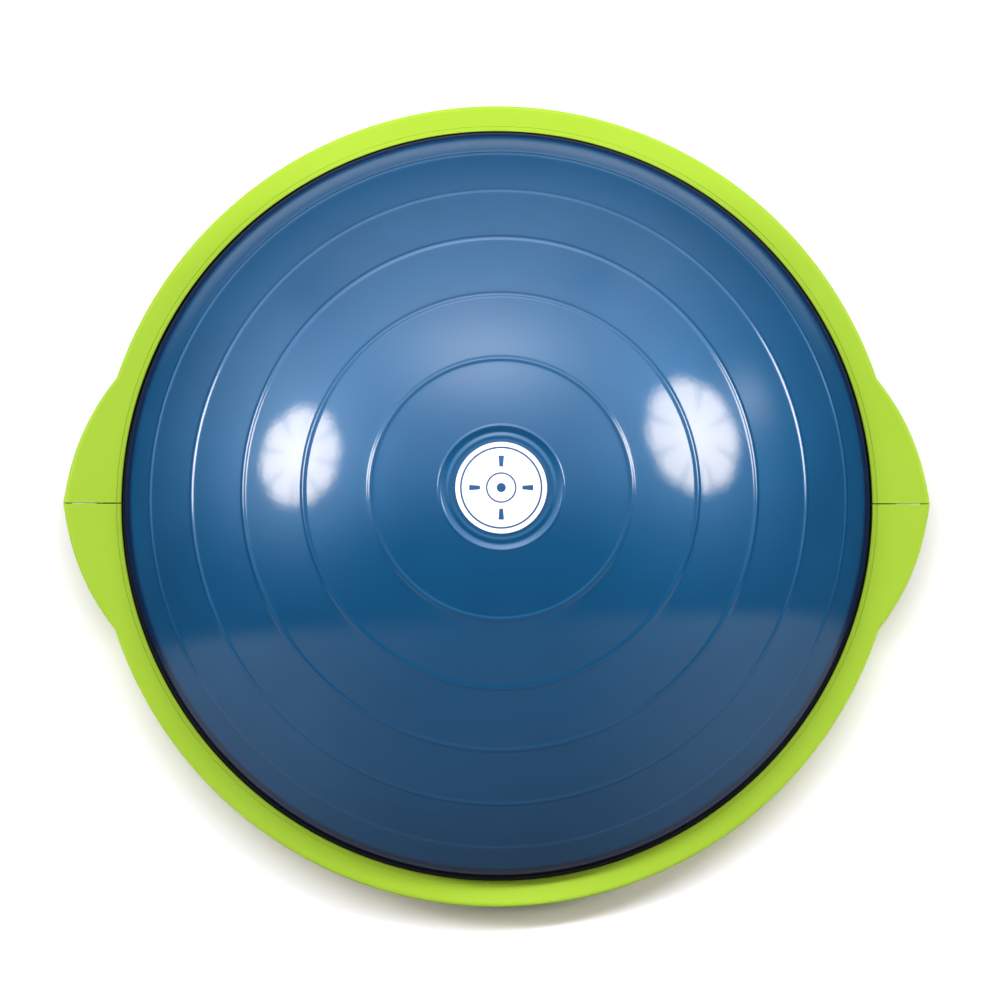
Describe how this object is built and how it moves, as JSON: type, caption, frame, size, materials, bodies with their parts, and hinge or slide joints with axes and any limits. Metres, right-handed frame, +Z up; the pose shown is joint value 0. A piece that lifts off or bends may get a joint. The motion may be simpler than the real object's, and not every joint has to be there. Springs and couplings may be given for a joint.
{
  "type": "balance dome trainer",
  "caption": "Air-filled balance dome clamped to a flat round platform by a two-part rim with side grips, with a pull-out air valve plug and rubber feet.",
  "frame": {"origin": "on the floor under the middle of the dome, at the centre of the bottom of the part's box", "axes": "+Z up through the top of the dome, +X through the right grip, +Y to the rear, across the seam between the rim's halves"},
  "size_m": [0.578, 0.535, 0.2155],
  "materials": {
    "bladder": "glossy soft PVC with a slight pearl, thin raised rings",
    "rim": "satin lime green moulded plastic",
    "badge": "white printed label with a blue level mark",
    "platform": "dark grey moulded plastic, fine leather grain",
    "rubber": "black ribbed rubber",
    "valve": "light grey soft plastic",
    "screw": "zinc plated steel"
  },
  "bodies": {
    "platform": {"bladder_base": "bladder", "platform_lower_shell": "platform", "platform_upper_shell": "platform", "rim_half_front": "rim", "rim_half_rear": "rim", "valve_seat": "valve", "rim_screw_1": "screw", "rim_screw_2": "screw", "rim_screw_3": "screw", "rim_screw_4": "screw", "rim_screw_5": "screw", "rim_screw_6": "screw", "rim_screw_7": "screw", "rim_screw_8": "screw", "rim_screw_9": "screw", "rim_screw_10": "screw", "rim_screw_11": "screw", "rim_screw_12": "screw", "shell_screw_1": "screw", "shell_screw_2": "screw", "shell_screw_3": "screw", "shell_screw_4": "screw", "shell_screw_5": "screw", "shell_screw_6": "screw", "shell_screw_7": "screw", "shell_screw_8": "screw", "foot_1": "rubber", "foot_2": "rubber", "foot_3": "rubber", "foot_4": "rubber", "foot_5": "rubber", "foot_6": "rubber", "foot_7": "rubber", "foot_8": "rubber"},
    "dome": {"bladder_dome": "bladder", "top_badge": "badge"},
    "plug": {"valve_plug": "valve"}
  },
  "joints": [
    {"name": "dome_press", "type": "slide", "parent": "platform", "child": "dome", "axis": [0, 0, -1], "range_m": [0, 0.06], "stiffness_N_per_m": 13000, "springref_m": -0.003, "deforming": ["bladder_dome"]},
    {"name": "valve_plug_pull", "type": "slide", "parent": "platform", "child": "plug", "axis": [0, 0, -1], "range_m": [0, 0.021]}
  ]
}
